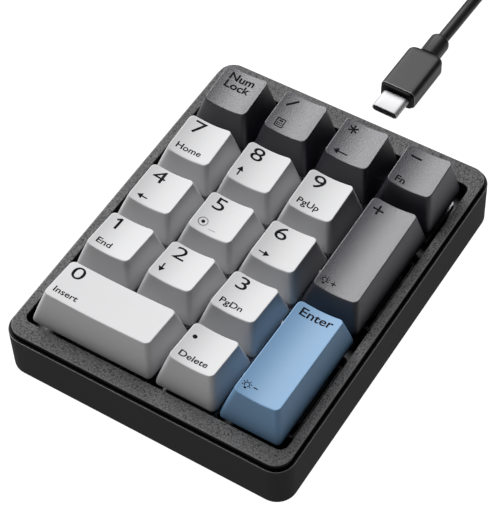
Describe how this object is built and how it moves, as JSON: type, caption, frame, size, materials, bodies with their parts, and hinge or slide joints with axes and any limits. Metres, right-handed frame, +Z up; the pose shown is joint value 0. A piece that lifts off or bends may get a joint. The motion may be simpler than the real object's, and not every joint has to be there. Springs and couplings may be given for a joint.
{
  "type": "numeric keypad",
  "caption": "Mechanical numeric keypad with sculpted push keys in a shallow case, a USB-C port in its back wall and an unplugged cable lying coiled behind it.",
  "frame": {"origin": "middle of the case in plan, on the surface that the rubber feet stand on", "axes": "+X to the user's right, +Y towards the back where the USB-C port is, +Z up through the keys"},
  "size_m": [0.0866, 0.2649, 0.0281],
  "materials": {
    "keycap_white": "fine satin texture",
    "keycap_dark": "fine grained matte",
    "keycap_blue": "fine satin texture",
    "stem": "smooth moulded",
    "top_cover": "coarse spark texture",
    "bottom_case": "satin moulded",
    "plate": "powder coat",
    "board": "solder mask",
    "clear_housing": "clear polycarbonate",
    "milky_housing": "milky nylon",
    "spring": "bright wire",
    "copper": "copper alloy",
    "wire": "bright wire",
    "black_plastic": "moulded",
    "light": "clear resin",
    "guide": "nylon",
    "screw": "machined",
    "foot": "soft matte",
    "port_steel": "drawn shell",
    "plug_steel": "drawn shell",
    "cable_jacket": "satin jacket"
  },
  "bodies": {
    "case": {"top_cover": "top_cover", "bottom_case": "bottom_case", "switch_plate": "plate", "circuit_board": "board", "upper_housings": "clear_housing", "lower_housings": "milky_housing", "switch_springs": "spring", "switch_contacts": "copper", "switch_sockets": "black_plastic", "key_lights": "light", "board_chips": "black_plastic", "stabiliser_guides": "guide", "plate_screws": "screw", "rubber_feet": "foot", "port_shell": "port_steel", "port_tongue": "black_plastic"},
    "key_num_lock": {"keycap_num_lock": "keycap_dark", "stem_num_lock": "stem"},
    "key_divide": {"keycap_divide": "keycap_dark", "stem_divide": "stem"},
    "key_multiply": {"keycap_multiply": "keycap_dark", "stem_multiply": "stem"},
    "key_minus": {"keycap_minus": "keycap_dark", "stem_minus": "stem"},
    "key_7": {"keycap_7": "keycap_white", "stem_7": "stem"},
    "key_8": {"keycap_8": "keycap_white", "stem_8": "stem"},
    "key_9": {"keycap_9": "keycap_white", "stem_9": "stem"},
    "key_plus": {"keycap_plus": "keycap_dark", "stem_plus": "stem"},
    "key_4": {"keycap_4": "keycap_white", "stem_4": "stem"},
    "key_5": {"keycap_5": "keycap_white", "stem_5": "stem"},
    "key_6": {"keycap_6": "keycap_white", "stem_6": "stem"},
    "key_1": {"keycap_1": "keycap_white", "stem_1": "stem"},
    "key_2": {"keycap_2": "keycap_white", "stem_2": "stem"},
    "key_3": {"keycap_3": "keycap_white", "stem_3": "stem"},
    "key_enter": {"keycap_enter": "keycap_blue", "stem_enter": "stem"},
    "key_0": {"keycap_0": "keycap_white", "stem_0": "stem"},
    "key_point": {"keycap_point": "keycap_white", "stem_point": "stem"},
    "wire_plus": {"stabiliser_wire_plus": "wire"},
    "wire_enter": {"stabiliser_wire_enter": "wire"},
    "wire_0": {"stabiliser_wire_0": "wire"},
    "cable": {"plug_shell": "plug_steel", "plug_grip": "cable_jacket", "cord_lead": "cable_jacket", "cord_coil": "cable_jacket", "cord_tail": "cable_jacket", "far_plug_grip": "cable_jacket", "far_plug_shell": "plug_steel"}
  },
  "joints": [
    {"name": "press_num_lock", "type": "slide", "parent": "case", "child": "key_num_lock", "axis": [0, 0, -1], "range_m": [0, 0.004], "stiffness_N_per_m": 75, "springref_m": -0.004, "deforming": ["switch_springs"]},
    {"name": "press_divide", "type": "slide", "parent": "case", "child": "key_divide", "axis": [0, 0, -1], "range_m": [0, 0.004], "stiffness_N_per_m": 75, "springref_m": -0.004, "deforming": ["switch_springs"]},
    {"name": "press_multiply", "type": "slide", "parent": "case", "child": "key_multiply", "axis": [0, 0, -1], "range_m": [0, 0.004], "stiffness_N_per_m": 75, "springref_m": -0.004, "deforming": ["switch_springs"]},
    {"name": "press_minus", "type": "slide", "parent": "case", "child": "key_minus", "axis": [0, 0, -1], "range_m": [0, 0.004], "stiffness_N_per_m": 75, "springref_m": -0.004, "deforming": ["switch_springs"]},
    {"name": "press_7", "type": "slide", "parent": "case", "child": "key_7", "axis": [0, 0, -1], "range_m": [0, 0.004], "stiffness_N_per_m": 75, "springref_m": -0.004, "deforming": ["switch_springs"]},
    {"name": "press_8", "type": "slide", "parent": "case", "child": "key_8", "axis": [0, 0, -1], "range_m": [0, 0.004], "stiffness_N_per_m": 75, "springref_m": -0.004, "deforming": ["switch_springs"]},
    {"name": "press_9", "type": "slide", "parent": "case", "child": "key_9", "axis": [0, 0, -1], "range_m": [0, 0.004], "stiffness_N_per_m": 75, "springref_m": -0.004, "deforming": ["switch_springs"]},
    {"name": "press_plus", "type": "slide", "parent": "case", "child": "key_plus", "axis": [0, 0, -1], "range_m": [0, 0.004], "stiffness_N_per_m": 75, "springref_m": -0.004, "deforming": ["switch_springs"]},
    {"name": "press_4", "type": "slide", "parent": "case", "child": "key_4", "axis": [0, 0, -1], "range_m": [0, 0.004], "stiffness_N_per_m": 75, "springref_m": -0.004, "deforming": ["switch_springs"]},
    {"name": "press_5", "type": "slide", "parent": "case", "child": "key_5", "axis": [0, 0, -1], "range_m": [0, 0.004], "stiffness_N_per_m": 75, "springref_m": -0.004, "deforming": ["switch_springs"]},
    {"name": "press_6", "type": "slide", "parent": "case", "child": "key_6", "axis": [0, 0, -1], "range_m": [0, 0.004], "stiffness_N_per_m": 75, "springref_m": -0.004, "deforming": ["switch_springs"]},
    {"name": "press_1", "type": "slide", "parent": "case", "child": "key_1", "axis": [0, 0, -1], "range_m": [0, 0.004], "stiffness_N_per_m": 75, "springref_m": -0.004, "deforming": ["switch_springs"]},
    {"name": "press_2", "type": "slide", "parent": "case", "child": "key_2", "axis": [0, 0, -1], "range_m": [0, 0.004], "stiffness_N_per_m": 75, "springref_m": -0.004, "deforming": ["switch_springs"]},
    {"name": "press_3", "type": "slide", "parent": "case", "child": "key_3", "axis": [0, 0, -1], "range_m": [0, 0.004], "stiffness_N_per_m": 75, "springref_m": -0.004, "deforming": ["switch_springs"]},
    {"name": "press_enter", "type": "slide", "parent": "case", "child": "key_enter", "axis": [0, 0, -1], "range_m": [0, 0.004], "stiffness_N_per_m": 75, "springref_m": -0.004, "deforming": ["switch_springs"]},
    {"name": "press_0", "type": "slide", "parent": "case", "child": "key_0", "axis": [0, 0, -1], "range_m": [0, 0.004], "stiffness_N_per_m": 75, "springref_m": -0.004, "deforming": ["switch_springs"]},
    {"name": "press_point", "type": "slide", "parent": "case", "child": "key_point", "axis": [0, 0, -1], "range_m": [0, 0.004], "stiffness_N_per_m": 75, "springref_m": -0.004, "deforming": ["switch_springs"]},
    {"name": "turn_wire_plus", "type": "hinge", "parent": "case", "child": "wire_plus", "pos_m": [0.03717, 0.00827, 0.01185], "axis": [0, 1, 0], "range_deg": [-31, 1]},
    {"name": "turn_wire_enter", "type": "hinge", "parent": "case", "child": "wire_enter", "pos_m": [0.03717, -0.02983, 0.01185], "axis": [0, 1, 0], "range_deg": [-31, 1]},
    {"name": "turn_wire_0", "type": "hinge", "parent": "case", "child": "wire_0", "pos_m": [-0.01905, -0.04795, 0.01185], "axis": [1, 0, 0], "range_deg": [-31, 1]},
    {"name": "slide_cable", "type": "slide", "parent": "case", "child": "cable", "axis": [0, 1, 0], "range_m": [-0.01, 0.02]}
  ],
  "couplings": [
    {"joint": "turn_wire_plus", "follows": "press_plus", "rad_per_m": -133.15},
    {"joint": "turn_wire_enter", "follows": "press_enter", "rad_per_m": -133.15},
    {"joint": "turn_wire_0", "follows": "press_0", "rad_per_m": -133.15}
  ]
}
